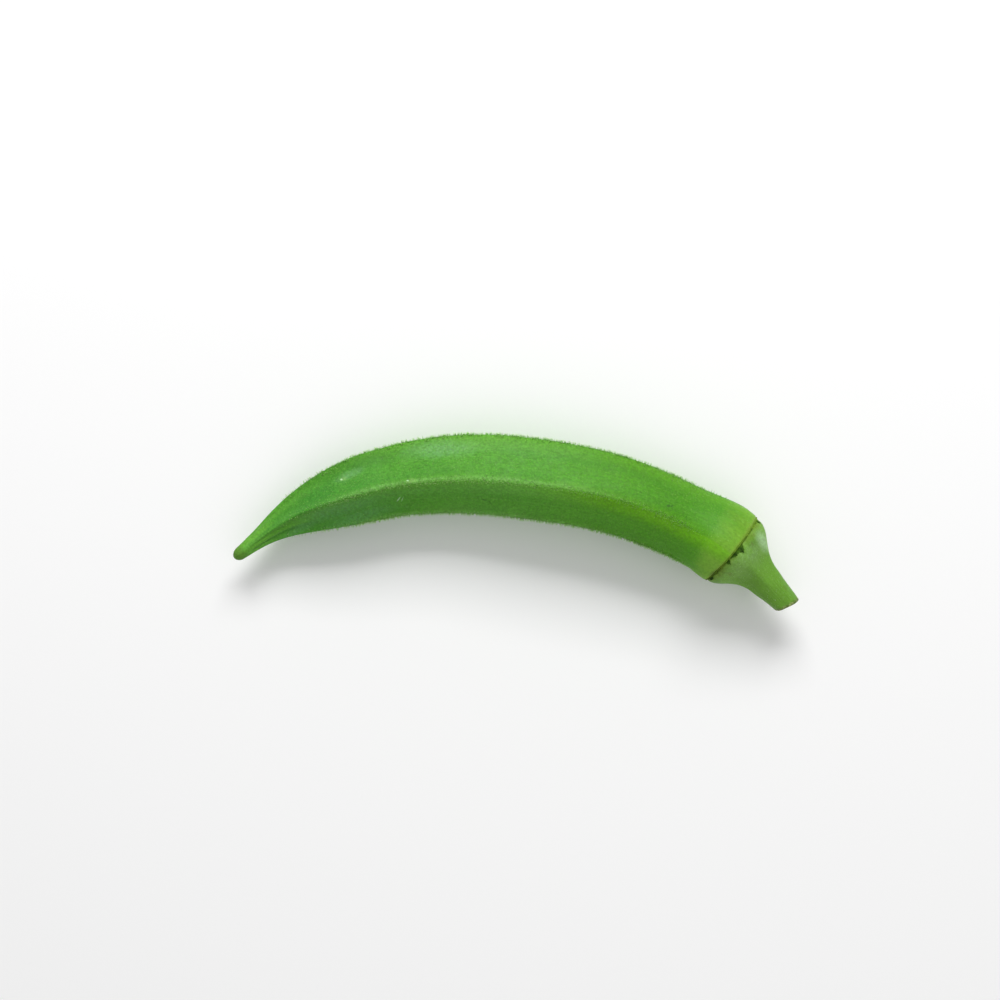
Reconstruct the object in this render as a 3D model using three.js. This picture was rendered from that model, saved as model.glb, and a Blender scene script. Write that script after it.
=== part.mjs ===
// Okra pod, picked and lying on its side: a five-ridged seed pod with a blunt tip, the fluted cap and
// cut stalk that it grew from, and the scar of the dried calyx round the seam between them. Millimetres.
//
// +Z is up and Z = 0 is the surface it lies on. +X runs from the tip to the stalk, and +Y is the
// outside of the bend. The origin is under the middle of the bounding box.
//
// A curved spine carries every cross-section. "s" is the distance along it from the tip, "bearing" is
// the angle round it, in degrees: 0 to the outside of the bend, 90 straight up, 270 straight down.
import * as THREE from "three";
import { mergeVertices } from "three/addons/utils/BufferGeometryUtils.js";

// Driving dimensions
const POD_LENGTH = 122.4; // tip to calyx scar, along the spine
const STALK_LENGTH = 18.6; // calyx scar to the cut, along the spine
const RIDGE_BEARINGS = [20, 99.5, 166, 234, 306]; // five ridges, not quite evenly spaced
const TIP_DOME = 1.7; // length of the blunt tip's rounding
const POD_SHOULDER = 0.8; // rounding where the pod meets the scar
const CAP_SHOULDER = 0.6; // rounding where the cap meets the scar
const SEAM_GAP = 0.08; // clearance between neighbouring pieces
const REST_PRESS = 0.25; // how far the underside is pressed flat where it rests

// The knife cut across the stalk
const CUT_SLANT = 15.5; // how far it is off square, in degrees
const SLANT_REACH = 6; // length of stalk over which the sections lean into that slant
const CUT_BEVEL = 0.35; // worn edge round the cut
const RIM_SHARE = 0.93; // radius of the cut inside that edge, as a share of the stalk's
const PITH_SHARE = 0.62; // radius of the pith, as a share of the stalk's
const PITH_SUNK = 0.25; // how far the pith has shrunk below the rind

// Stations along the whole spine: [s, value]
const HEADING = [
  [0, 38.5], [9, 36], [18, 25.8], [31, 19], [52, 4.5], [68, -6], [84, -11],
  [96, -18.5], [107, -24.5], [115, -26.2], [122.4, -39], [130, -44.5], [141, -48],
]; // degrees in plan, from +X towards +Y
const LIFT = [
  [0, 6.2], [10, 4.4], [20, 2.8], [32, 1.2], [44, 0.25], [54, 0], [70, 0.75],
  [86, 1.45], [100, 1.1], [110, 0.25], [116, 0], [122.4, 0.35], [130, 0.1], [141, -0.9],
]; // height of the underside over the surface
const TWIST = [[0, -6], [10, -6], [18, -7], [30, -3], [45, 0], [122.4, -2], [141, 4]]; // degrees

// Stations along the pod: [s, value]
const POD_RADIUS = [
  [0, 1.4], [3, 1.75], [8.5, 2.6], [13, 3.7], [20, 5.55], [27, 7.05], [34, 8], [41, 8.35],
  [46, 8.7], [65, 9.5], [88, 9.35], [104, 9], [111, 8.95], [116, 9.25], [120, 9.65], [122.4, 9.55],
]; // out to the ridges
const POD_FULLNESS = [
  [0, 1], [4, 0.35], [12, -0.4], [24, -0.22], [40, 0.06], [65, 0.22], [90, 0.35],
  [106, 0.58], [116, 0.72], [122.4, 0.72],
]; // faces between ridges: below 0 hollow, 0 flat, 1 round
const POD_RIDGE = [
  [0, 30], [6, 10], [14, 6], [45, 5.5], [70, 6.5], [92, 10], [108, 17], [122.4, 26],
]; // width of a ridge's rounding, in degrees

// Stations along the cap and stalk: [distance from the scar, value]
const CAP_RADIUS = [
  [0, 9.15], [1.4, 9.1], [2.8, 8.4], [4.6, 6.9], [6.9, 5.2], [9.2, 4.25],
  [11.6, 3.85], [14, 3.4], [16.2, 3.1], [18.6, 2.8],
];
const CAP_FULLNESS = [[0, 0.66], [2.8, 0.45], [6, 0.2], [10, 0.4], [14, 0.8], [18.6, 1]];
const CAP_RIDGE = [[0, 24], [4, 15], [10, 18], [18.6, 30]];

// The calyx scar
const SCAR_REACH = 0.4; // from the seam to each edge of its collar
const SCAR_SINK = 0.3; // how far it fills the seam
const SCAR_FLUSH = 0.05; // how far it stands out where it covers the pod's shoulder
const SCAR_PROUD = 0.15; // how far it stands out on the cap
const SCRAP_PROUD = 0.3; // how much further a whole scrap stands out
const FRAY = 0.17; // how far the front edge frays past the collar
const FRAY_WAVES = [[0.05, 17, 3], [0.04, 31, 5]]; // its unevenness: [size, waves round it, start]
const SCRAPS = [
  [36, 0.5, 5], [89, 1.25, 8], [117, 1.0, 5], [136, 0.4, 4], [158, 0.6, 7], [199, 0.9, 6],
  [341, 0.7, 6],
]; // scraps of dried calyx lying on the cap: [bearing, length past the fray, half width in degrees]

// Facets
const COLUMNS = 50; // round the pod and the stalk, ten to a face
const SCAR_COLUMNS = 100;
const POD_STEP = 2.2; // length of a facet along the pod
const STALK_STEP = 1.0;
const ROUND_STEPS = 5; // facets over a rounded edge
const PLAN_STEP = 0.2; // steps in which the spine is added up
const COLUMN_CROWDING = 0.5; // how far the columns draw towards the ridges, 0 to 1

const SPINE_LENGTH = POD_LENGTH + STALK_LENGTH;
const { clamp, degToRad, euclideanModulo, lerp, smoothstep } = THREE.MathUtils;

// A smooth curve through [position, value] stations. Its slope at a station is between the slopes of
// the two chords that meet there.
function along(stations, at) {
  const last = stations.length - 1;
  const span = (i) => stations[i + 1][0] - stations[i][0];
  const rise = (i) => (stations[i + 1][1] - stations[i][1]) / span(i);
  const slope = (i) => {
    if (i === 0) return rise(0);
    if (i === last) return rise(last - 1);
    return (rise(i - 1) * span(i) + rise(i) * span(i - 1)) / (span(i - 1) + span(i));
  };
  const x = clamp(at, stations[0][0], stations[last][0]);
  const i = Math.min(stations.findLastIndex((station) => station[0] <= x), last - 1);
  const u = (x - stations[i][0]) / span(i);
  const v = 1 - u;
  return (
    stations[i][1] * v * v * (1 + 2 * u) +
    stations[i + 1][1] * u * u * (1 + 2 * v) +
    span(i) * u * v * (slope(i) * v - slope(i + 1) * u)
  );
}

// The bearings of the two ridges on either side of a face
function faceRidges(face) {
  return [RIDGE_BEARINGS[face], RIDGE_BEARINGS[face + 1] ?? RIDGE_BEARINGS[0] + 360];
}

// Radius at a bearing as a share of the ridge radius: a pentagon of chords between the ridges, its
// corners rounded over ridgeWidth degrees, and its faces filled towards the circle by fullness.
function section(bearing, fullness, ridgeWidth) {
  const turn = RIDGE_BEARINGS[0] + euclideanModulo(bearing - RIDGE_BEARINGS[0], 360);
  const [start, end] = faceRidges(RIDGE_BEARINGS.findLastIndex((ridge) => ridge <= turn));
  const half = degToRad((end - start) / 2);
  const fromRidge = degToRad(Math.min(turn - start, end - turn));
  const width = degToRad(ridgeWidth);
  const eased = (half * (Math.hypot(fromRidge, width) - width)) / (Math.hypot(half, width) - width);
  const chord = Math.cos(half) / Math.cos(half - eased);
  return lerp(chord, 1, fullness);
}

// Skins: the radius at a distance along the spine and a bearing
function podSkin(s, bearing) {
  return along(POD_RADIUS, s) * section(bearing, along(POD_FULLNESS, s), along(POD_RIDGE, s));
}

function capSkin(s, bearing) {
  const c = s - POD_LENGTH;
  return along(CAP_RADIUS, c) * section(bearing, along(CAP_FULLNESS, c), along(CAP_RIDGE, c));
}

// How far an edge rounded by "round" has fallen in at a distance from its end
function roundedDrop(distance, round) {
  const left = round - clamp(distance, 0, round);
  return round - Math.sqrt(round * round - left * left);
}

// The spine in plan, added up from its heading
const plan = [new THREE.Vector2()];
for (let s = 0; s < SPINE_LENGTH + PLAN_STEP; s += PLAN_STEP) {
  const heading = degToRad(along(HEADING, s + PLAN_STEP / 2));
  const step = new THREE.Vector2(Math.cos(heading), Math.sin(heading)).multiplyScalar(PLAN_STEP);
  plan.push(plan.at(-1).clone().add(step));
}

// The spine's height keeps the underside at its lift
function spineHeight(s) {
  return podSkin(Math.min(s, POD_LENGTH), 270) + along(LIFT, s) - REST_PRESS;
}

// The spine's place and directions at s: ahead along it, side to the outside of the bend, and up
function spineFrame(s) {
  const at = clamp(s, 0, SPINE_LENGTH) / PLAN_STEP;
  const flat = plan[Math.floor(at)].clone().lerp(plan[Math.floor(at) + 1], at % 1);
  const heading = degToRad(along(HEADING, s));
  const climb = Math.atan(spineHeight(s + 0.5) - spineHeight(s - 0.5));
  const ahead = new THREE.Vector3(Math.cos(heading), Math.sin(heading), Math.tan(climb)).normalize();
  const side = new THREE.Vector3(-Math.sin(heading), Math.cos(heading), 0);
  return {
    place: new THREE.Vector3(flat.x, flat.y, spineHeight(s)),
    ahead,
    side,
    up: new THREE.Vector3().crossVectors(ahead, side),
  };
}

function aroundSpine(s, radius, bearing) {
  const { place, side, up } = spineFrame(s);
  const turn = degToRad(bearing + along(TWIST, s));
  return place
    .addScaledVector(side, radius * Math.cos(turn))
    .addScaledVector(up, radius * Math.sin(turn));
}

// Columns crowd a little towards the ridges, where the section turns fastest
function columnBearing(column, columns) {
  const perFace = columns / RIDGE_BEARINGS.length;
  const [start, end] = faceRidges(Math.floor(column / perFace));
  const u = (column % perFace) / perFace;
  return lerp(start, end, u - (COLUMN_CROWDING * Math.sin(2 * Math.PI * u)) / (2 * Math.PI));
}

// A lathe of profile points [x, s], each vertex then put where place(x, s, bearing) says
function turned(profile, columns, place) {
  const lathe = new THREE.LatheGeometry(
    profile.map(([x, s]) => new THREE.Vector2(x, s)),
    columns,
  );
  const position = lathe.getAttribute("position");
  for (let i = 0; i < position.count; i++) {
    const [x, s] = profile[i % profile.length];
    const column = Math.floor(i / profile.length) % columns;
    position.setXYZ(i, ...place(x, s, columnBearing(column, columns)));
  }
  lathe.deleteAttribute("normal");
  lathe.deleteAttribute("uv");
  return mergeVertices(lathe, 1e-4);
}

// Equal steps from one place to another, with neither end
function between(from, to, length) {
  const count = Math.round((to - from) / length);
  return Array.from({ length: count - 1 }, (_, i) => lerp(from, to, (i + 1) / count));
}

// A quarter turn in equal steps, with both ends
const quarter = Array.from({ length: ROUND_STEPS + 1 }, (_, i) => (Math.PI / 2) * (i / ROUND_STEPS));

// The pod. In its profile x is a share of the skin's radius. What would be below the surface it lies
// on is pressed flat.
function makePod() {
  const end = POD_LENGTH - SEAM_GAP / 2;
  const profile = [
    ...quarter.map((a) => [Math.sin(a), TIP_DOME * (1 - Math.cos(a))]),
    ...between(TIP_DOME, end - POD_SHOULDER, POD_STEP).map((s) => [1, s]),
    ...quarter.map((a) => [1, end - POD_SHOULDER * (1 - Math.sin(a))]),
    [0, end],
  ];
  return turned(profile, COLUMNS, (share, s, bearing) => {
    const radius = podSkin(s, bearing) - roundedDrop(end - s, POD_SHOULDER);
    const point = aroundSpine(s, share * radius, bearing);
    point.z = Math.max(point.z, 0);
    return point;
  });
}

// The cap and the stalk in one piece, ending in a slanting cut with shrunken pith. In its profile x is
// a share of the skin's radius.
function makeStalk() {
  const start = POD_LENGTH + SEAM_GAP / 2;
  const profile = [
    [0, start],
    ...quarter.map((a) => [1, start + CAP_SHOULDER * (1 - Math.cos(a))]),
    ...between(start + CAP_SHOULDER, SPINE_LENGTH - CUT_BEVEL, STALK_STEP).map((s) => [1, s]),
    [1, SPINE_LENGTH - CUT_BEVEL],
    [RIM_SHARE, SPINE_LENGTH],
    [(RIM_SHARE + PITH_SHARE) / 2, SPINE_LENGTH],
    [PITH_SHARE, SPINE_LENGTH - PITH_SUNK],
    [0, SPINE_LENGTH - PITH_SUNK],
  ];
  const slant = Math.tan(degToRad(CUT_SLANT));
  return turned(profile, COLUMNS, (share, s, bearing) => {
    const radius = share * (capSkin(s, bearing) - roundedDrop(s - start, CAP_SHOULDER));
    const lean = slant * smoothstep(s, SPINE_LENGTH - SLANT_REACH, SPINE_LENGTH);
    const outside = radius * Math.cos(degToRad(bearing));
    return aroundSpine(s, radius, bearing).addScaledVector(spineFrame(s).ahead, outside * lean);
  });
}

// How much of a scrap is at a bearing: [its length there, its share of a whole scrap there]
function scrapAt(bearing) {
  const here = SCRAPS.map(([middle, length, half]) => {
    const off = Math.abs(euclideanModulo(bearing - middle + 180, 360) - 180);
    const share = clamp(1 - off / half, 0, 1);
    return [length * share, share];
  });
  return here.reduce((most, scrap) => (scrap[0] > most[0] ? scrap : most));
}

// The calyx scar. In its profile x goes from 0 at its underside to 1 at its top, and u from -1 at its
// back edge over the seam at 0 and the collar's front edge at 1 to the scraps' edge at 2.
function makeScar() {
  const profile = [
    [0.3, -1], [1, -0.5], [1, 0], [1, 0.5], [1, 1], [0.7, 1.6], [0.2, 2],
    [0, 1.6], [0, 1], [0, 0.5], [0, 0], [0, -0.5], [0.3, -1],
  ];
  return turned(profile, SCAR_COLUMNS, (x, u, bearing) => {
    const [scrapLength, scrapShare] = scrapAt(bearing);
    const fray = FRAY_WAVES.reduce(
      (sum, [size, waves, start]) => sum + size * Math.cos(degToRad(bearing) * waves + start),
      FRAY,
    );
    const offset = SCAR_REACH * Math.min(u, 1) + (fray + scrapLength) * Math.max(u - 1, 0);
    const s = POD_LENGTH + offset;
    const onPod = offset < 0;
    const skin = onPod ? podSkin(s, bearing) : capSkin(s, bearing);
    const drop = roundedDrop(Math.abs(offset) - SEAM_GAP / 2, onPod ? POD_SHOULDER : CAP_SHOULDER);
    const underside = skin - Math.min(drop, SCAR_SINK) + SEAM_GAP;
    const top = skin + (onPod ? SCAR_FLUSH : SCAR_PROUD + SCRAP_PROUD * scrapShare);
    return aroundSpine(s, lerp(underside, top, x), bearing);
  });
}

function piece(name, geometry, color, roughness) {
  geometry.computeVertexNormals();
  const material = new THREE.MeshStandardMaterial({ color, roughness, metalness: 0 });
  const mesh = new THREE.Mesh(geometry, material);
  mesh.name = name;
  return mesh;
}

const okra = new THREE.Group();
okra.add(piece("pod", makePod(), 0x57a03a, 0.5));
okra.add(piece("cap_and_stalk", makeStalk(), 0x7fae5c, 0.55));
okra.add(piece("calyx_scar", makeScar(), 0x5a4a22, 0.85));

const middle = new THREE.Box3().setFromObject(okra).getCenter(new THREE.Vector3());
for (const mesh of okra.children) mesh.position.set(-middle.x, -middle.y, 0);

export default okra;
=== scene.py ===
import math

import bmesh
import bpy
import numpy as np
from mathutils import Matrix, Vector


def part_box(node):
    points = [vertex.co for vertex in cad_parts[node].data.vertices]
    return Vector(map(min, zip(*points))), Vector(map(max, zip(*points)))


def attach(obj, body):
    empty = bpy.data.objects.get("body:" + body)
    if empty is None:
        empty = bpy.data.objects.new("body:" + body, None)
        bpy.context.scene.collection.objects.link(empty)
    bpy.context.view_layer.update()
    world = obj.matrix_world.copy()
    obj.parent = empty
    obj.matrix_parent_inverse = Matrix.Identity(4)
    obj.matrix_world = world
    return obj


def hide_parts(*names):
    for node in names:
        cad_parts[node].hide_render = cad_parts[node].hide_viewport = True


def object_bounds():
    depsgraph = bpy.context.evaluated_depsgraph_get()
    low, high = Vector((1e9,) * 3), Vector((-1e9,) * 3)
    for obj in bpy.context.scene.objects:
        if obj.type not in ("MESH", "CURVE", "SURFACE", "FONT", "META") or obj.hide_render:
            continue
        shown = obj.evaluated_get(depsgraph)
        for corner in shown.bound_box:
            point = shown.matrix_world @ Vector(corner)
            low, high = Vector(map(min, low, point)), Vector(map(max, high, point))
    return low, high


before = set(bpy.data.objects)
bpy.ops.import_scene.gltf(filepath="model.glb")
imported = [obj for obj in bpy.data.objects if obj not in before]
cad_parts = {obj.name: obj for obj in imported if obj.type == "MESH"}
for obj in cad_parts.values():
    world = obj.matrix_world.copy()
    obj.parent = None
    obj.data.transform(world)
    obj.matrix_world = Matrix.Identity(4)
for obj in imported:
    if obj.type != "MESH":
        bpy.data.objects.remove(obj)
cad_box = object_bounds()

# An okra pod on its side. Growth is written in millimetres along a curved spine, and every mesh is
# turned into metres, in the row's frame, as it is made. "s" is the distance along the spine from the
# tip, and "bearing" the angle round it in degrees: 0 to the outside of the bend, 90 straight up.
MM = 0.001

# ---- Growth: the same spine and skins as the solids have
POD_LENGTH = 122.4
STALK_LENGTH = 18.6
SPINE_LENGTH = POD_LENGTH + STALK_LENGTH
RIDGE_BEARINGS = (20.0, 99.5, 166.0, 234.0, 306.0)
TIP_DOME = 1.7
POD_SHOULDER = 0.8
CAP_SHOULDER = 0.6
SEAM_GAP = 0.08
POD_END = POD_LENGTH - SEAM_GAP / 2
CAP_START = POD_LENGTH + SEAM_GAP / 2
REST_PRESS = 0.25
CUT_SLANT = 15.5
SLANT_REACH = 6.0
CUT_BEVEL = 0.35
RIM_SHARE = 0.93
PITH_SHARE = 0.62
PITH_SUNK = 0.25

# Stations along the whole spine: (s, value)
HEADING = (
    (0, 38.5), (9, 36), (18, 25.8), (31, 19), (52, 4.5), (68, -6), (84, -11),
    (96, -18.5), (107, -24.5), (115, -26.2), (122.4, -39), (130, -44.5), (141, -48),
)
LIFT = (
    (0, 6.2), (10, 4.4), (20, 2.8), (32, 1.2), (44, 0.25), (54, 0), (70, 0.75),
    (86, 1.45), (100, 1.1), (110, 0.25), (116, 0), (122.4, 0.35), (130, 0.1), (141, -0.9),
)
TWIST = ((0, -6), (10, -6), (18, -7), (30, -3), (45, 0), (122.4, -2), (141, 4))

# Stations along the pod: (s, value)
POD_RADIUS = (
    (0, 1.4), (3, 1.75), (8.5, 2.6), (13, 3.7), (20, 5.55), (27, 7.05), (34, 8.0), (41, 8.35),
    (46, 8.7), (65, 9.5), (88, 9.35), (104, 9), (111, 8.95), (116, 9.25), (120, 9.65), (122.4, 9.55),
)
POD_FULLNESS = (
    (0, 1), (4, 0.35), (12, -0.4), (24, -0.22), (40, 0.06), (65, 0.22), (90, 0.35),
    (106, 0.58), (116, 0.72), (122.4, 0.72),
)
POD_RIDGE = ((0, 30), (6, 10), (14, 6), (45, 5.5), (70, 6.5), (92, 10), (108, 17), (122.4, 26))

# Stations along the cap and stalk: (distance from the scar, value)
CAP_RADIUS = (
    (0, 9.15), (1.4, 9.1), (2.8, 8.4), (4.6, 6.9), (6.9, 5.2), (9.2, 4.25),
    (11.6, 3.85), (14, 3.4), (16.2, 3.1), (18.6, 2.8),
)
CAP_FULLNESS = ((0, 0.66), (2.8, 0.45), (6, 0.2), (10, 0.4), (14, 0.8), (18.6, 1))
CAP_RIDGE = ((0, 24), (4, 15), (10, 18), (18.6, 30))

# Scraps of dried calyx that lie on the cap: (bearing, length past the fray, half width in degrees)
SCRAPS = (
    (24, 0.6, 3.5), (87, 1.3, 9), (97, 0.6, 12), (113, 1.0, 4.5), (130, 0.35, 5), (143, 0.4, 5),
    (158, 0.6, 7), (199, 0.9, 6), (341, 0.7, 6),
)


def along(stations, at):
    """A smooth curve through (position, value) stations, read at every place in an array."""
    x, y = np.array(stations, float).T
    span = np.diff(x)
    rise = np.diff(y) / span
    inner = (rise[:-1] * span[1:] + rise[1:] * span[:-1]) / (span[:-1] + span[1:])
    slope = np.concatenate([rise[:1], inner, rise[-1:]])
    at = np.clip(at, x[0], x[-1])
    i = np.clip(np.searchsorted(x, at, side="right") - 1, 0, len(span) - 1)
    u = (at - x[i]) / span[i]
    v = 1 - u
    ends = y[i] * v * v * (1 + 2 * u) + y[i + 1] * u * u * (1 + 2 * v)
    return ends + span[i] * u * v * (slope[i] * v - slope[i + 1] * u)


def face_at(bearing):
    """The face that a bearing is on, the bearing counted on from the first ridge, and the ridges at
    the face's two sides."""
    corners = np.append(RIDGE_BEARINGS, RIDGE_BEARINGS[0] + 360)
    turn = RIDGE_BEARINGS[0] + np.mod(bearing - RIDGE_BEARINGS[0], 360)
    face = np.clip(np.searchsorted(corners, turn, side="right") - 1, 0, len(RIDGE_BEARINGS) - 1)
    return face, turn, corners[face], corners[face + 1]


def from_ridge(bearing):
    """Degrees to the nearest ridge, and half the width of the face there, in degrees."""
    _, turn, before, after = face_at(bearing)
    return np.minimum(turn - before, after - turn), (after - before) / 2


def face_share(bearing, shares):
    """What each face has of something, and where across the face a bearing is: 0 to 1."""
    face, turn, before, after = face_at(bearing)
    return np.array(shares)[face], (turn - before) / (after - before)


def section(bearing, fullness, ridge_width):
    """Radius at a bearing as a share of the ridge radius: a rounded pentagon, filled by fullness."""
    off, half = (np.radians(a) for a in from_ridge(bearing))
    width = np.radians(ridge_width)
    eased = half * (np.hypot(off, width) - width) / (np.hypot(half, width) - width)
    chord = np.cos(half) / np.cos(half - eased)
    return chord + (1 - chord) * fullness


def pod_radius(s, bearing):
    return along(POD_RADIUS, s) * section(bearing, along(POD_FULLNESS, s), along(POD_RIDGE, s))


def cap_radius(s, bearing):
    c = s - POD_LENGTH
    return along(CAP_RADIUS, c) * section(bearing, along(CAP_FULLNESS, c), along(CAP_RIDGE, c))


def rounded_drop(distance, round_):
    """How far an edge with that rounding has fallen in at a distance from its end."""
    left = round_ - np.clip(distance, 0, round_)
    return round_ - np.sqrt(round_ * round_ - left * left)


def tip_share(s):
    """The blunt tip's rounding, as a share of the skin's radius."""
    return np.sqrt(np.clip(1 - (1 - np.clip(s / TIP_DOME, 0, 1)) ** 2, 0, 1))


PLAN_STEP = 0.2
plan_s = np.arange(0, SPINE_LENGTH + 2 * PLAN_STEP, PLAN_STEP)
plan_heading = np.radians(along(HEADING, plan_s + PLAN_STEP / 2))
plan_steps = np.stack([np.cos(plan_heading), np.sin(plan_heading)], 1) * PLAN_STEP
plan_xy = np.concatenate([[[0, 0]], np.cumsum(plan_steps, 0)])[:-1]


def unit(vectors):
    return vectors / np.linalg.norm(vectors, axis=-1, keepdims=True)


def spine_height(s):
    return pod_radius(np.minimum(s, POD_LENGTH), 270.0) + along(LIFT, s) - REST_PRESS


def spine_frame(s):
    """The spine's place and its directions at each s: ahead, side and up."""
    inside = np.clip(s, 0, SPINE_LENGTH)
    heading = np.radians(along(HEADING, s))
    height = spine_height(s)
    climb = spine_height(s + 0.5) - spine_height(s - 0.5)
    place = np.stack([np.interp(inside, plan_s, plan_xy[:, k]) for k in (0, 1)] + [height], -1)
    ahead = unit(np.stack([np.cos(heading), np.sin(heading), climb], -1))
    side = np.stack([-np.sin(heading), np.cos(heading), np.zeros_like(heading)], -1)
    return place, ahead, side, np.cross(ahead, side)


def around_spine(s, radius, bearing):
    place, _, side, up = spine_frame(s)
    turn = np.radians(bearing + along(TWIST, s))[..., None]
    return place + radius[..., None] * (side * np.cos(turn) + up * np.sin(turn))


def smoothstep(x, low, high):
    u = np.clip((x - low) / (high - low), 0, 1)
    return u * u * (3 - 2 * u)


# ---- Fine relief, in millimetres out from the skin
def waves(seed, s, bearing, round_range, length_range, count):
    """Smooth uneven relief of about unit height: waves with a whole number round the section, and
    lengths along the spine, drawn from the two ranges."""
    draw = np.random.default_rng(seed)
    total = np.zeros(np.broadcast(s, bearing).shape)
    for _ in range(count):
        turns = draw.integers(round_range[0], round_range[1] + 1)
        length = draw.uniform(*length_range) * draw.choice((-1, 1))
        start = draw.uniform(0, 2 * math.pi)
        total += np.cos(np.radians(bearing) * turns + 2 * math.pi * s / length + start)
    return total / math.sqrt(count / 2) / 2


RIDGE_BEAD = 0.14  # height of the bead along each ridge
RIDGE_BEAD_WIDTH = 0.62
RIDGE_CLEAR = 1.3  # how near a ridge the other relief fades
VEIN_HEIGHT = 0.022
SWELL_HEIGHT = 0.06
SEED_HEIGHT = 0.045  # of the bulges over the seeds
SEED_PITCH = 6.2
SEED_SPREAD = 13  # half their width, in degrees
FOLD_HEIGHT = 0.13  # of the folds that run up each face from the tip
FOLD_DEPTHS = (0.35, 1.0, 0.6, 0.5, 0.4)  # by face, from the ridge at 20 degrees round
TIP_FILL = (0.5, 0, 0.15, 0.1, 0.2)  # how much fuller the middle of each face is near the tip
SKIN_DROP = 0.04  # how far the relief as a whole lies below the solid's skin
CAP_VEIN_HEIGHT = 0.014
CAP_SWELL_HEIGHT = 0.08
CRIMP_HEIGHT = 0.08  # of the cap's crimped edge at the seam
CRIMP_REACH = 1.6
FLUTE_DEPTH = 0.04
FLUTE_DEPTHS = (0.3, 1.0, 0.7, 0.8, 0.6)
CAP_FILL = (0.1, 0.34, 0.1, 0.1, 0.1)  # how much rounder each face of the stalk is


def bump_at(x, middle, width):
    return np.exp(-(((x - middle) / width) ** 2))


def tip_folds(s, bearing):
    """Two creases on each face near the tip with a fold between them: 1 on the fold, below 0 in them."""
    share, across = face_share(bearing, FOLD_DEPTHS)
    reach = smoothstep(s, 3, 7) * (1 - smoothstep(s, 15, 27))
    wander = 0.03 * np.sin(s / 3.1 + 1) + 0.02 * np.sin(s / 1.3)
    fold = bump_at(across, 0.40, 0.15) - 0.8 * bump_at(across + wander, 0.12, 0.09)
    return share * reach * (fold - 0.8 * bump_at(across - wander, 0.64, 0.11))


def pod_relief(s, bearing):
    off, half = from_ridge(bearing)
    arc = np.radians(off) * along(POD_RADIUS, s)
    body = smoothstep(s, 8, 26) * (1 - smoothstep(s, 104, 119))
    bead = RIDGE_BEAD * bump_at(arc, 0, RIDGE_BEAD_WIDTH) * body
    clear = 1 - 0.8 * bump_at(arc, 0, RIDGE_CLEAR) * smoothstep(s, 8, 20)
    veins = VEIN_HEIGHT * waves(11, s, bearing, (34, 90), (140, 420), 26) * smoothstep(s, 3, 18)
    swell = SWELL_HEIGHT * waves(5, s, bearing, (2, 9), (16, 60), 14) * smoothstep(s, 6, 30)
    middle = bump_at(off, half, SEED_SPREAD)
    seeds = SEED_HEIGHT * middle * np.cos(
        2 * math.pi * s / SEED_PITCH + waves(3, s, bearing, (1, 4), (30, 60), 5)
    )
    seeds = seeds * smoothstep(s, 26, 45) * (1 - smoothstep(s, 100, 116))
    end = 1 - smoothstep(s, POD_LENGTH - 3, POD_LENGTH)
    folds = FOLD_HEIGHT * tip_folds(s, bearing)
    fill, across = face_share(bearing, TIP_FILL)
    fill = fill * np.sin(math.pi * across) ** 2 * smoothstep(s, 3, 10) * (1 - smoothstep(s, 20, 34))
    return bead + folds + fill + (veins + swell + seeds) * clear * (0.25 + 0.75 * end) - SKIN_DROP


def cap_relief(s, bearing):
    c = s - POD_LENGTH
    veins = CAP_VEIN_HEIGHT * waves(21, s, bearing, (18, 44), (60, 200), 18)
    swell = CAP_SWELL_HEIGHT * waves(8, s, bearing, (3, 8), (9, 30), 10)
    crimp = CRIMP_HEIGHT * waves(31, s, bearing, (14, 30), (6, 14), 8) * bump_at(c, 0, CRIMP_REACH)
    share, across = face_share(bearing, FLUTE_DEPTHS)
    flute = -FLUTE_DEPTH * share * bump_at(across, 0.56, 0.07) * smoothstep(c, 2.5, 5.5)
    flute = flute * (1 - smoothstep(c, 10, 15))
    fill, across = face_share(bearing, CAP_FILL)
    fill = fill * np.sin(math.pi * across) ** 2 * smoothstep(c, 3.5, 8.5)
    fade = smoothstep(c, 0, 1.2) * (1 - 0.5 * smoothstep(c, 12, 18))
    return (veins + swell) * fade + crimp * smoothstep(c, 0, 0.5) + flute + fill


# ---- Meshes
def row_shift():
    """What carries the spine's own start to the row's origin: the pod's box against the CAD pod's."""
    s = np.linspace(0, POD_LENGTH, 400)[:, None]
    bearing = np.linspace(0, 360, 181)[None, :]
    radius = pod_radius(s, bearing) * tip_share(s) - rounded_drop(POD_LENGTH - s, POD_SHOULDER)
    s, bearing = np.broadcast_arrays(s, bearing)
    grown = around_spine(s, radius, bearing).reshape(-1, 3)
    low, high = (np.array(corner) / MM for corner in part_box("pod"))
    shift = (low + high - grown.min(0) - grown.max(0)) / 2
    shift[2] = 0
    return shift


SHIFT = row_shift()


def surface(s, bearing, radius_of, lean_of=None, share=1.0):
    """Points at each (s, bearing) on a skin, or at a share of its radius, in the row's frame, in
    millimetres. lean_of says how far the slanting cut carries a point ahead."""
    s, bearing = np.broadcast_arrays(s, bearing)
    points = around_spine(s, radius_of(s, bearing) * share, bearing)
    if lean_of is not None:
        points = points + spine_frame(s)[1] * (lean_of(s, bearing) * share)[..., None]
    return points + SHIFT


def add_object(name, data):
    made = bpy.data.objects.new(name, data)
    bpy.context.scene.collection.objects.link(made)
    return made


def smooth_mesh(name, points, faces):
    """A mesh from points in millimetres, shaded smooth."""
    mesh = bpy.data.meshes.new(name)
    mesh.from_pydata((points * MM).tolist(), [], faces)
    mesh.polygons.foreach_set("use_smooth", np.ones(len(faces), bool))
    return mesh


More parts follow.
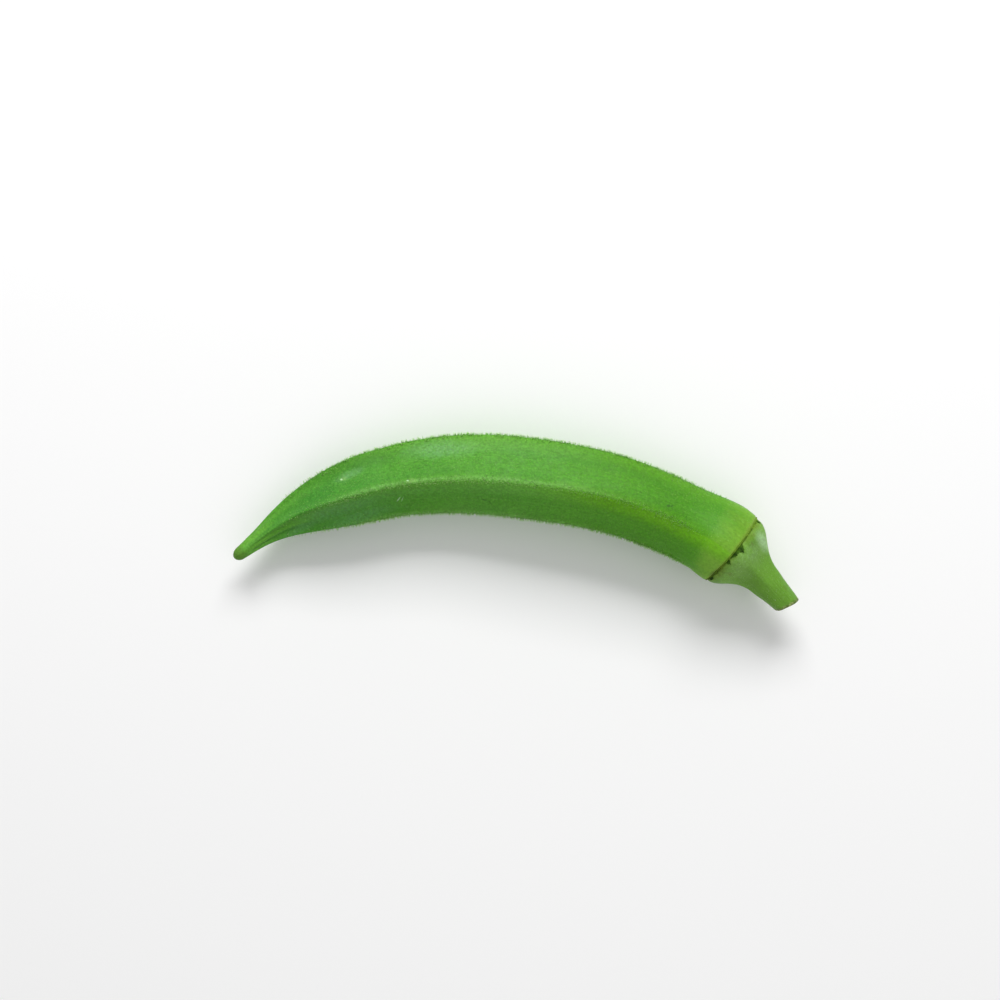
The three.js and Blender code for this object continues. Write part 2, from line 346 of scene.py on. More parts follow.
def loft(name, rings, growth, start_pole=None, end_pole=None):
    """A closed skin through rings of points (ring, column, xyz), with a pole at each end that has one.
    growth holds what its materials read at each point: name -> (ring, column) or (ring, column, 3)."""
    count, columns = rings.shape[:2]
    points = [rings.reshape(-1, 3)]
    ring, column = np.meshgrid(np.arange(count - 1), np.arange(columns), indexing="ij")
    beside = (column + 1) % columns
    quads = np.stack(
        [ring * columns + column, ring * columns + beside,
         (ring + 1) * columns + beside, (ring + 1) * columns + column], -1,
    ).reshape(-1, 4)
    faces = quads.tolist()
    u, v = ring / (count - 1), column / columns
    u1, v1 = (ring + 1) / (count - 1), (column + 1) / columns
    corners = np.stack([u, v, u, v1, u1, v1, u1, v], -1).reshape(-1, 2).tolist()
    total = count * columns
    poles = []
    for pole, edge, turn in ((start_pole, 0, -1), (end_pole, count - 1, 1)):
        if pole is None:
            continue
        points.append(np.asarray(pole, float)[None])
        poles.append(edge)
        for j in range(columns):
            a, b = edge * columns + j, edge * columns + (j + 1) % columns
            faces.append([total, a, b] if turn > 0 else [total, b, a])
            flat = [[edge > 0, (j + 0.5) / columns], [edge > 0, j / columns], [edge > 0, (j + 1) / columns]]
            corners.extend(flat if turn > 0 else [flat[0], flat[2], flat[1]])
        total += 1
    mesh = smooth_mesh(name, np.concatenate(points), faces)
    mesh.uv_layers.new(name="OFBake").data.foreach_set("uv", np.array(corners, float).ravel())
    for key, values in growth.items():
        wide = values.ndim == 3
        flat = values.reshape(-1, 3) if wide else values.reshape(-1)
        ends = [values[edge].mean(0, keepdims=True) for edge in poles]
        flat = np.concatenate([flat] + ends) if ends else flat
        kind = "FLOAT_VECTOR" if wide else "FLOAT"
        field = "vector" if wide else "value"
        mesh.attributes.new(key, kind, "POINT").data.foreach_set(field, flat.ravel().astype(np.float32))
    return add_object(name, mesh)


def straight(s, bearing, radius):
    """Where a point would be if the spine were straight, for patterns that follow the growth."""
    turn = np.radians(bearing)
    return np.stack([s + 0 * radius, radius * np.cos(turn), radius * np.sin(turn)], -1)


def ridge_arc(s, bearing):
    """Millimetres round the pod's skin to the nearest ridge."""
    return np.radians(from_ridge(bearing)[0]) * along(POD_RADIUS, s)


def ridge_side(s, bearing):
    """Millimetres past the nearest ridge, below 0 on the side of the smaller bearing."""
    _, across = face_share(bearing, FOLD_DEPTHS)
    return ridge_arc(s, bearing) * np.where(across < 0.5, 1, -1)


POD_RINGS = 372
POD_COLUMNS = 240
CAP_RINGS = 150
CAP_COLUMNS = 240
ROUND_RINGS = 9  # rings over a rounded edge
RIND_RINGS = 8
PITH_RINGS = 22
SLOPE_OUT, SLOPE_IN = 0.1, 0.06  # how far the slope from rind to pith reaches past PITH_SHARE
CUT_ROUGHNESS = 0.03


def quarter(count):
    """Turns over a rounded edge."""
    return np.linspace(0, math.pi / 2, count)


def all_round(columns):
    """Bearings of the columns of a skin, from its underside on."""
    return np.arange(columns) * 360 / columns + 270


def pod_surface_radius(s, bearing):
    radius = pod_radius(s, bearing) - rounded_drop(POD_END - s, POD_SHOULDER) + pod_relief(s, bearing)
    return tip_share(s) * radius


def cap_surface_radius(s, bearing):
    drop = rounded_drop(s - CAP_START, CAP_SHOULDER)
    return cap_radius(s, bearing) - drop + cap_relief(s, bearing)


def cut_lean(s, bearing):
    """How far the slanting cut carries a point ahead."""
    lean = math.tan(math.radians(CUT_SLANT)) * smoothstep(s, SPINE_LENGTH - SLANT_REACH, SPINE_LENGTH)
    return cap_surface_radius(s, bearing) * np.cos(np.radians(bearing)) * lean


def make_pod():
    dome = TIP_DOME * (1 - np.cos(quarter(ROUND_RINGS)))[1:]
    shoulder = POD_END - POD_SHOULDER * (1 - np.sin(quarter(ROUND_RINGS)))
    body = np.linspace(dome[-1], shoulder[0], POD_RINGS - 2 * ROUND_RINGS + 2)[1:-1]
    s = np.concatenate([dome, body, shoulder])[:, None]
    bearing = all_round(POD_COLUMNS)[None, :]
    rings = surface(s, bearing, pod_surface_radius)
    rings[..., 2] = np.maximum(rings[..., 2], 0)
    growth = {
        "grown": straight(s, bearing, pod_radius(s, bearing)),
        "ridge_side": ridge_side(s, bearing),
        "fold": tip_folds(s, bearing),
    }
    start = surface(np.array([0.0]), np.array([0.0]), lambda s, b: 0 * s)[0]
    return loft("pod_skin", rings, growth, start, rings[-1].mean(0))


def make_cap():
    flange = CAP_START + CAP_SHOULDER * (1 - np.cos(quarter(ROUND_RINGS)))
    body = np.linspace(flange[-1], SPINE_LENGTH - CUT_BEVEL, CAP_RINGS - 2 * ROUND_RINGS + 1)[1:]
    s = np.concatenate([flange, body])[:, None]
    bearing = all_round(CAP_COLUMNS)[None, :]
    rings = surface(s, bearing, cap_surface_radius, cut_lean)
    turn = quarter(ROUND_RINGS)[1:, None]
    rim_s = SPINE_LENGTH - CUT_BEVEL * (1 - np.sin(turn))
    rim_share = 1 - (1 - RIM_SHARE) * (1 - np.cos(turn))
    rim = surface(rim_s, bearing, cap_surface_radius, cut_lean, rim_share)
    rings = np.concatenate([rings, rim])
    s_all = np.concatenate([s, rim_s])
    growth = {"grown": straight(s_all, bearing, cap_radius(s_all, bearing))}
    return loft("cap_and_stalk_skin", rings, growth, rings[0].mean(0), None)


def make_cut():
    """The cut: a rind that stands round a shrunken pith, with fibres and small tears."""
    rind = np.linspace(RIM_SHARE, PITH_SHARE + SLOPE_OUT, RIND_RINGS)
    pith = np.linspace(PITH_SHARE + SLOPE_IN, 0.02, PITH_RINGS)
    share = np.concatenate([rind, pith])[:, None]
    bearing = all_round(CAP_COLUMNS)[None, :]
    sunk = PITH_SUNK * smoothstep(share, PITH_SHARE + SLOPE_OUT, PITH_SHARE - SLOPE_IN)
    rough = CUT_ROUGHNESS * waves(41, share * 40, bearing, (5, 26), (5, 17), 16)
    s = SPINE_LENGTH - sunk + rough * smoothstep(share, RIM_SHARE, 0.85)
    rings = surface(s, bearing, cap_surface_radius, cut_lean, share)
    growth = {
        "cut_share": share + 0 * bearing,
        "grown": straight(s, bearing, share * along(CAP_RADIUS, STALK_LENGTH)),
    }
    return loft("cut_face", rings, growth, None, rings[-1].mean(0))


def scrap_at(bearing):
    """How far a scrap of calyx reaches at a bearing, and its share of a whole scrap there."""
    lengths = np.zeros_like(bearing)
    shares = np.zeros_like(bearing)
    for middle, length, half in SCRAPS:
        off = np.abs(np.mod(bearing - middle + 180, 360) - 180)
        share = np.clip(1 - off / half, 0, 1) ** 0.85
        lengths = np.maximum(lengths, length * share)
        shares = np.maximum(shares, share)
    return lengths, shares


SCAR_COLUMNS = 900
FRAY_REACH = 0.085  # how far the crust's edge lies over the cap where it has no scrap
FRAY = 0.16  # how unevenly it does
FRAY_LEAST = 0.02
CRUST_HALF = 0.2  # half the width of the crust in the seam
CRUST_DEPTH = 0.6  # how deep in the seam it starts
CRUST_SUNK = 0.15  # how far its top lies below the skin beside it
CRUST_UNEVEN = 0.07  # how unevenly it does
CRUST_SWELL = 0.1  # how much it stands up where it is thickest
THICKEST_AT, THICK_SPAN = 136.0, 16  # the bearing of that, and how far to each side it goes
CRUMPLE = 0.05
SCRAP_TEAR = 0.1  # how torn the scraps' edges are
SCRAP_FOOT = 0.08  # how deep in the cap a scrap's underside lies
SCRAP_FILM = 0.02  # how far its top stands over the cap at its thinnest
SCRAP_BODY = 0.07  # and how much further at its middle
SCRAP_STEP = 0.04  # how far it stands over the cap where it leaves the crust
SCRAP_LIFT = 0.16  # how far a scrap's free end curls up

# Round a section of the crust and of what lies on the cap beyond it. The first number goes from -1 at
# the crust's back edge over the seam at 0 to its front at 1, and on to the free edge at 2. The second
# goes from 0 on its underside to 1 on its top.
CALYX_SECTION = (
    (-1, 0), (-1, 1), (-0.66, 1), (-0.33, 1), (0, 1), (0.33, 1), (0.66, 1), (1, 1), (1.2, 1), (1.4, 1),
    (1.6, 1), (1.8, 1), (1.94, 0.9), (2, 0.5), (1.94, 0.1), (1.8, 0), (1.5, 0), (1.2, 0), (1, 0), (0, 0),
)


def make_scar():
    """The dried calyx: a thin broken crust in the seam, frayed and with scraps lying on the cap."""
    bearing = all_round(SCAR_COLUMNS)
    scrap_length, scrap_share = scrap_at(bearing)
    fray = np.maximum(FRAY_REACH + FRAY * waves(51, 0, bearing, (8, 130), (1, 2), 24), FRAY_LEAST)
    thick = bump_at(bearing - 360, THICKEST_AT, THICK_SPAN)
    tear = 1 + SCRAP_TEAR * waves(52, 0, bearing, (30, 120), (1, 2), 18)
    reach = fray * (1 + thick) + scrap_length * tear
    level = CRUST_SUNK + CRUST_UNEVEN * waves(53, 0, bearing, (5, 70), (1, 2), 20) - CRUST_SWELL * thick
    level = level * (1 - scrap_share) - SCRAP_STEP * scrap_share
    dark = scrap_share * smoothstep(scrap_length / np.maximum(scrap_share, 0.01), 0.45, 0.6)
    rings, offsets, heights = [], [], []
    for u, x in CALYX_SECTION:
        offset = CRUST_HALF * np.clip(u, -1, 1) + max(u - 1, 0) * reach
        s = POD_LENGTH + offset
        skin = pod_radius(s, bearing) if u < 0 else cap_radius(s, bearing) + cap_relief(s, bearing)
        crumple = CRUMPLE * waves(54, offset * 9, bearing, (20, 170), (4, 9), 22)
        if u <= 1:
            low, high = skin - CRUST_DEPTH, skin - level + crumple
        else:
            curl = SCRAP_LIFT * dark * (u - 1) ** 2 * (1 + waves(55, 0, bearing, (20, 60), (1, 2), 8))
            low = skin - SCRAP_FOOT + curl
            high = skin + SCRAP_FILM + SCRAP_BODY * scrap_share + curl + crumple * scrap_share
        radius = low + (high - low) * x
        rings.append(around_spine(s, radius, bearing) + SHIFT)
        heights.append(dark * np.clip(2 * u, 0, 1))
        offsets.append(straight(s, bearing, radius))
    closed = [np.array(rows + rows[:1]) for rows in (rings, offsets, heights)]
    piece = loft("dried_calyx", closed[0], {"grown": closed[1], "scrap": closed[2]})
    merge_doubles(piece)
    return piece


def merge_doubles(piece):
    """Join the points where a section closes on itself."""
    bm = bmesh.new()
    bm.from_mesh(piece.data)
    bmesh.ops.remove_doubles(bm, verts=bm.verts, dist=1e-7)
    bm.to_mesh(piece.data)
    bm.free()


# ---- Hairs
HAIR_SIDES = 3
HAIR_CEILING = cad_box[1][2] / MM * 1.027  # no hair stands higher than this, just past the pod's top
HAIR_LENGTHS = (0.55, 1.25)  # the shortest and the longest, as shares of the usual length
HAIR_WIDTHS = (0.75, 1.3)
KNEE_WIDTH = 0.7  # of a bent one at its knee, as a share of its width at the foot
HAIR_SUNK = 0.03  # how deep it is rooted
HAIR_KNEE = 0.6  # how far along its length and its lean a bent one turns
POINT_CLEAR, ROOT_CLEAR = 0.02, 0.12  # how far hairs stay above what the pod lies on
WIDEST = 2 * math.pi * 9.7  # round the pod's thickest part
BRISTLE_BAND = 0.6  # how near a ridge its bristles stand


def hair_roots(seed, radius_of, keep, density, s_range):
    """Random roots over a skin: about density to a square millimetre, thinned by keep(s, bearing)."""
    draw = np.random.default_rng(seed)
    count = int(density * WIDEST * (s_range[1] - s_range[0]))
    s = draw.uniform(*s_range, count)
    bearing = draw.uniform(0, 360, count)
    chance = radius_of(s, bearing) * 2 * math.pi / WIDEST * keep(s, bearing)
    rooted = draw.uniform(0, 1, count) < chance
    return s[rooted], bearing[rooted], draw


def hairs(name, roots, radius_of, length_of, width, lean, bent):
    """Tapering hairs in one mesh, sunk a little at the foot. A bent one has a knee below its point."""
    s, bearing, draw = roots
    base = surface(s, bearing, radius_of)
    ahead = surface(s + 0.05, bearing, radius_of) - base
    across = surface(s, bearing + 0.3, radius_of) - base
    normal = unit(np.cross(across, ahead))
    ahead = unit(ahead)
    across = np.cross(ahead, normal)
    turn = draw.uniform(0, 2 * math.pi, len(s))[:, None]
    along_lean = ahead * np.cos(turn) + across * np.sin(turn)
    length = (length_of(s, bearing) * draw.uniform(*HAIR_LENGTHS, len(s)))[:, None]
    tilt = (lean * draw.uniform(0.2, 1, len(s)))[:, None]
    point = base + length * (normal * np.cos(tilt) + along_lean * np.sin(tilt))
    clear = (point[:, 2] > POINT_CLEAR) & (base[:, 2] > ROOT_CLEAR) & (point[:, 2] < HAIR_CEILING)
    base, normal, ahead, across, length, point, along_lean, tilt = (
        a[clear] for a in (base, normal, ahead, across, length, point, along_lean, tilt)
    )
    size = width * draw.uniform(*HAIR_WIDTHS, len(base))[:, None]
    bend = tilt * HAIR_KNEE
    knee = base + HAIR_KNEE * length * (normal * np.cos(bend) + along_lean * np.sin(bend))
    rows = []
    for middle, radius in ((base - HAIR_SUNK * normal, size), (knee, size * KNEE_WIDTH))[: 1 + bent]:
        for k in range(HAIR_SIDES):
            angle = 2 * math.pi * k / HAIR_SIDES
            rows.append(middle + radius / 2 * (ahead * math.cos(angle) + across * math.sin(angle)))
    rows.append(point)
    tip = len(rows) - 1
    last_ring = tip - HAIR_SIDES
    points = np.stack(rows, 1).reshape(-1, 3)
    one = []
    for k in range(HAIR_SIDES):
        beside = (k + 1) % HAIR_SIDES
        if bent:
            one += [(k, HAIR_SIDES + k, HAIR_SIDES + beside), (k, HAIR_SIDES + beside, beside)]
        one.append((last_ring + k, tip, last_ring + beside))
    one.append(tuple(range(HAIR_SIDES)))
    faces = (np.arange(len(base))[:, None, None] * (tip + 1) + np.array(one)[None]).reshape(-1, 3)
    return add_object(name, smooth_mesh(name, points, faces.tolist()))


def hairy(s):
    """Where along the pod the hairs grow: hardly any on the tip, none by the scar."""
    return smoothstep(s, 10, 34) * (1 - smoothstep(s, 106, 119))


def make_hairs():
    """Bristles along the ridges, stubble all over the pod, and down on the cap."""
    pod_skin, cap_skin = pod_surface_radius, cap_surface_radius

    def by_ridge(s, bearing):
        return bump_at(ridge_arc(s, bearing), 0, BRISTLE_BAND) * hairy(s)

    def on_face(s, bearing):
        return 0.12 + 0.88 * hairy(s)

    def bristle(s, bearing):
        """How long they are: shorter on the ridge that lies on top."""
        return 0.68 - 0.36 * bump_at(bearing, RIDGE_BEARINGS[1], 25)

    def stubble(s, bearing):
        """How long it is: shorter near the tip and the scar."""
        return 0.16 + 0.14 * hairy(s)

    def even(value):
        """The same all over."""
        return lambda s, bearing: value + 0 * s

    roots = hair_roots(71, pod_skin, by_ridge, density=13.5, s_range=(8, 120))
    ridge = hairs("ridge_hairs", roots, pod_skin, bristle, width=0.13, lean=0.5, bent=True)
    roots = hair_roots(72, pod_skin, on_face, density=6.0, s_range=(2, 121.5))
    face = hairs("face_hairs", roots, pod_skin, stubble, width=0.08, lean=0.6, bent=False)
    on_cap = (POD_LENGTH + 1, SPINE_LENGTH - 1)
    roots = hair_roots(73, cap_skin, even(0.6), density=2.5, s_range=on_cap)
    cap = hairs("cap_hairs", roots, cap_skin, even(0.16), width=0.06, lean=0.8, bent=False)
    return ridge, face, cap


# ---- Materials
def linear(value):
    """A value as the eye sees it on a screen, 0 to 255, in the renderer's own linear scale."""
    return value / 255 / 12.92 if value <= 10 else ((value / 255 + 0.055) / 1.055) ** 2.4


def shade(red, green, blue):
    return linear(red), linear(green), linear(blue), 1


class Nodes:
    """A node tree being wired up."""

    def __init__(self, tree):
        self.tree = tree

    def add(self, kind, settings=None, **inputs):
        made = self.tree.nodes.new(kind)
        for key, value in (settings or {}).items():
            setattr(made, key, value)
        for key, value in inputs.items():
            self.put(made, key.replace("_", " "), value)
        return made

    def put(self, made, key, value):
        """Wire up or set an input, by its name or, as i0, i1 and so on, by its number."""
        socket = made.inputs[int(key[1:])] if key[:1] == "i" and key[1:].isdigit() else made.inputs[key]
        if isinstance(value, bpy.types.NodeSocket):
            self.tree.links.new(value, socket)
        else:
            socket.default_value = value

    def math(self, operation, a, b=0.0):
        return self.add("ShaderNodeMath", {"operation": operation}, i0=a, i1=b).outputs[0]

    def times(self, first, *others):
        for other in others:
            first = self.math("MULTIPLY", first, other)
        return first

    def ragged(self, value, vector, scale, reach):
        """A value with noise added, so that an edge made from it wanders."""
        return self.math("ADD", value, self.times(self.noise(vector, scale), reach))

    def vector(self, operation, a, b):
        return self.add("ShaderNodeVectorMath", {"operation": operation}, i0=a, i1=b).outputs[0]

    def blend(self, factor, a, b, mode="MIX"):
        """One colour over the other. A colour is an output, or the three numbers of a shade."""
        a, b = (shade(*c) if isinstance(c, tuple) else c for c in (a, b))
        settings = {"data_type": "RGBA", "blend_type": mode}
        return self.add("ShaderNodeMix", settings, i0=factor, i6=a, i7=b).outputs[2]

    def spread(self, value, low, high, to_low=0.0, to_high=1.0):
        made = self.add(
            "ShaderNodeMapRange", {"interpolation_type": "SMOOTHSTEP"},
            i0=value, i1=low, i2=high, i3=to_low, i4=to_high,
        )
        return made.outputs[0]

    def noise(self, vector, scale, detail=3.0, roughness=0.55):
        return self.add(
            "ShaderNodeTexNoise", Vector=vector, Scale=scale, Detail=detail, Roughness=roughness,
        ).outputs[0]

    def bump(self, shader, height, strength, distance_mm):
        made = self.add("ShaderNodeBump", Strength=strength, Distance=distance_mm * MM, Height=height)
        self.put(shader, "Normal", made.outputs[0])

    def group(self, name, **inputs):
        return self.add("ShaderNodeGroup", {"node_tree": bpy.data.node_groups[name]}, **inputs).outputs

    def split(self, vector):
        return self.add("ShaderNodeSeparateXYZ", i0=vector).outputs


def new_group(name, inputs, outputs):
    tree = bpy.data.node_groups.new(name, "ShaderNodeTree")
    for label, kind in inputs:
        tree.interface.new_socket(label, in_out="INPUT", socket_type="NodeSocket" + kind)
    for label, kind in outputs:
        tree.interface.new_socket(label, in_out="OUTPUT", socket_type="NodeSocket" + kind)
    nodes = Nodes(tree)
    given = nodes.add("NodeGroupInput")
    result = nodes.add("NodeGroupOutput")
    return nodes, given.outputs, result


def make_streaks():
    """Long fine fibres that run with the growth: a mask and a height."""
    nodes, given, result = new_group(
        "Growth streaks", [("Grown", "Vector"), ("Fineness", "Float"), ("Stretch", "Vector")],
        [("Mask", "Float"), ("Height", "Float")],
    )
    drawn = nodes.vector("MULTIPLY", given["Grown"], given["Stretch"])
    broad = nodes.noise(drawn, given["Fineness"], 2, 0.5)
    fine = nodes.noise(drawn, nodes.times(given["Fineness"], 2.7), 3, 0.6)
    both = nodes.math("ADD", nodes.times(broad, 0.6), nodes.times(fine, 0.4))
    nodes.put(result, "Mask", nodes.spread(both, 0.38, 0.62))
    nodes.put(result, "Height", both)


def make_grain():
    """The skin's fine grain: pale dots where the hairs stand, a light and dark speckle to multiply a
    colour by, and an uneven pebbled height."""
    nodes, given, result = new_group(
        "Skin grain", [("Grown", "Vector"), ("Dots per mm", "Float")],
        [("Dots", "Float"), ("Speckle", "Float"), ("Height", "Float")],
    )
    grown, per_mm = given["Grown"], given["Dots per mm"]
    cells = nodes.add("ShaderNodeTexVoronoi", Vector=grown, Scale=per_mm, Randomness=1)
    dots = nodes.spread(cells.outputs["Distance"], 0.34, 0.12)
    pebbles = nodes.noise(grown, nodes.times(per_mm, 1.4), 4, 0.6)
    some = nodes.spread(nodes.noise(grown, 0.8, 2), 0.4, 0.6, 0.3, 1)
    dots = nodes.times(dots, some)
    nodes.put(result, "Dots", dots)
    speckle = nodes.noise(grown, nodes.times(per_mm, 1.15), 3, 0.65)
    nodes.put(result, "Speckle", nodes.spread(speckle, 0.34, 0.66, 0.83, 1.17))
    nodes.put(result, "Height", nodes.math("ADD", nodes.times(dots, 0.5), pebbles))


def make_bloom():
    """Patches of dull waxy bloom: a mask, and the fine breaks in it alone."""
    nodes, given, result = new_group(
        "Waxy bloom", [("Grown", "Vector"), ("Patch size", "Float")],
        [("Mask", "Float"), ("Broken", "Float")],
    )
    squashed = nodes.vector("MULTIPLY", given["Grown"], (0.45, 1, 1))
    per_mm = nodes.math("DIVIDE", 1, given["Patch size"])
    patches = nodes.spread(nodes.noise(squashed, per_mm, 3, 0.6), 0.5, 0.68)
    broken = nodes.spread(nodes.noise(given["Grown"], 1.3, 4, 0.7), 0.35, 0.7, 0.35, 1)
    nodes.put(result, "Mask", nodes.times(patches, broken))
    nodes.put(result, "Broken", broken)


MARK_EDGE = 1.2  # where a mark's edge lies, in half sizes from its middle, with the wobble added


def make_mark():
    """One blemish or patch: an ellipse about a place on the skin, its edge broken up a little."""
    nodes, given, result = new_group(
        "Blemish",
        [("Grown", "Vector"), ("Place", "Vector"), ("Half size", "Vector"), ("Slant", "Float"),
         ("Softness", "Float"), ("Grain per mm", "Float")],
        [("Mask", "Float")],
    )
    away = nodes.vector("SUBTRACT", given["Grown"], given["Place"])
    parts = nodes.split(away)
    across = nodes.math("SUBTRACT", parts[1], nodes.times(parts[0], given["Slant"]))
    joined = nodes.add("ShaderNodeCombineXYZ", i0=parts[0], i1=across, i2=parts[2]).outputs[0]
    sized = nodes.vector("DIVIDE", joined, given["Half size"])
    distance = nodes.add("ShaderNodeVectorMath", {"operation": "LENGTH"}, i0=sized).outputs["Value"]
    distance = nodes.ragged(distance, given["Grown"], given["Grain per mm"], 0.7)
    outer = nodes.math("ADD", MARK_EDGE, given["Softness"])
    inner = nodes.math("SUBTRACT", MARK_EDGE, given["Softness"])
    nodes.put(result, "Mask", nodes.spread(distance, outer, inner))


def start_material(name):
    material = bpy.data.materials.new(name)
    material.use_nodes = True
    material.node_tree.nodes.clear()
    nodes = Nodes(material.node_tree)
    shader = nodes.add("ShaderNodeBsdfPrincipled")
    output = nodes.add("ShaderNodeOutputMaterial")
    material.node_tree.links.new(shader.outputs[0], output.inputs[0])
    return material, nodes, shader


def read(nodes, name):
    """What a mesh holds under a name, as a vector and as a number."""
    made = nodes.add("ShaderNodeAttribute", {"attribute_name": name, "attribute_type": "GEOMETRY"})
    return made.outputs["Vector"], made.outputs["Fac"]


def fix(shader, **values):
    """Values that are the same all over a surface."""
    for key, value in values.items():
        shader.inputs[key.replace("_", " ")].default_value = value


def soften(shader, weight, radius_mm, sheen, tint):
    """Light that sinks a little into the flesh, and the sheen of the finest down."""
    fix(shader, Subsurface_Weight=weight, Subsurface_Radius=radius_mm, Subsurface_Scale=MM)
    fix(shader, Sheen_Weight=sheen, Sheen_Roughness=0.45, Sheen_Tint=tint)


# Marks on the skins: (s, bearing, half length mm, half width mm, slant)
PALE_MARKS = (
    (42.0, 128.5, 0.8, 0.12, 0.7), (42.9, 129.8, 0.45, 0.09, 1.2), (30.5, 55, 0.3, 0.24, 0),
    (45.2, 94.5, 0.3, 0.14, -0.3), (88.0, 236, 1.2, 0.1, 0.2), (64.0, 330, 0.6, 0.08, -0.5),
)
PALE_HALOES = ((31.0, 55.5, 0.8, 0.5, 0), (46.0, 95.5, 1.2, 0.5, 0))
DARK_MARKS = (
    (63.2, 136.5, 0.9, 0.13, -0.25), (64.8, 142, 0.7, 0.12, -0.85), (103.8, 82.5, 0.5, 0.38, 0.2),
    (104.6, 80.5, 0.3, 0.25, 0.6), (51.0, 210, 0.35, 0.3, 0), (92.0, 350, 0.4, 0.3, 0),
)
BLOOM_SHEEN_PATCHES = ((53, 42, 8, 2.0, -0.02), (32.5, 51, 3.2, 1.0, 0.1))
PALE_BANDS = ((66, 33, 18, 2.4, 0), (62, 190, 16, 2.4, 0))
SCAR_LIGHT_PATCHES = ((121.2, 121, 4.6, 5.0, 0), (121.2, 235, 4.6, 5.0, 0))
SCAR_SMUDGES = ((122.0, 143, 0.7, 1.4, 0), (122.0, 262, 0.6, 1.2, 0))
DULL_SHEEN_PATCHES = (
    (27, 123, 10, 1.6, -0.04), (17.5, 149, 6, 0.9, 0), (31, 152, 9, 1.4, 0), (44, 215, 12, 2.5, 0),
    (60, 265, 12, 3.0, 0), (82, 340, 14, 2.5, 0),
)
GLINT_PATCHES = ((118.5, 98, 2.4, 2.0, 0), (108, 60, 5, 2, 0))
LIME_BANDS = ((98, 102.5, 20, 1.6, -0.02), (100, 240, 18, 1.6, 0))
FRESH_BANDS = ((84, 134, 46, 3.2, 0), (84, 200, 40, 3.0, 0))
EDGE_SHADE_BANDS = ((104, 32, 22, 3.6, 0), (33, 30, 14, 1.9, 0), (70, 200, 30, 1.5, 0))
TIP_HIGHLIGHTS = ((7.5, 66, 5.5, 0.45, 0), (7, 200, 6, 0.45, 0))
TIP_CREASE_SHADES = ((9.5, 89, 5.0, 0.3, 0), (9, 222, 5.0, 0.3, 0))
CAP_FROST_AND_SHEEN = ((126.2, 36, 3.0, 1.5, 0), (126.5, 205, 3.0, 1.6, 0), (126, 300, 2.6, 1.8, 0))
CAP_SHADES = ((124.1, 63, 1.6, 1.4, 0), (124.2, 170, 1.6, 1.6, 0))
CAP_LIGHT_PATCHES = ((124.8, 104, 2.2, 2.2, 0), (126, 240, 2.2, 2.4, 0))
CAP_STAINS = (
    (123.4, 53, 0.5, 0.45, 0), (122.9, 37, 0.35, 0.45, 0), (124.4, 66, 0.5, 0.3, 0),
    (123.6, 139, 0.9, 1.7, 0), (125.2, 131, 1.0, 0.5, 0.4), (123.4, 250, 0.8, 1.6, 0),
    (136.9, 50, 0.7, 0.3, 0),
)


class Paint:
    """The colour of one skin. Each layer is laid over the ones before it, where its mask says."""

    def __init__(self, nodes, grown, skin, colour):
        self.nodes, self.grown, self.skin, self.colour = nodes, grown, skin, colour

    def over(self, mask, strength, colour):
        self.colour = self.nodes.blend(self.nodes.times(mask, strength), self.colour, colour)

    def marks(self, places, softness=0.25, grain=3.5):
        """The mask of all the marks in a list."""
        total = 0.0
        for s, bearing, half_length, half_width, slant in places:
            radius = float(self.skin(np.array([float(s)]), np.array([float(bearing)]))[0])
            turn = math.radians(bearing)
            mark = self.nodes.group(
                "Blemish", Grown=self.grown, Place=(s, radius * math.cos(turn), radius * math.sin(turn)),
                Half_size=(half_length, half_width, max(half_width * 2.5, 1.5)), Slant=slant,
                Softness=softness, Grain_per_mm=grain,
            )["Mask"]
            total = self.nodes.math("MAXIMUM", mark, total)
        return total


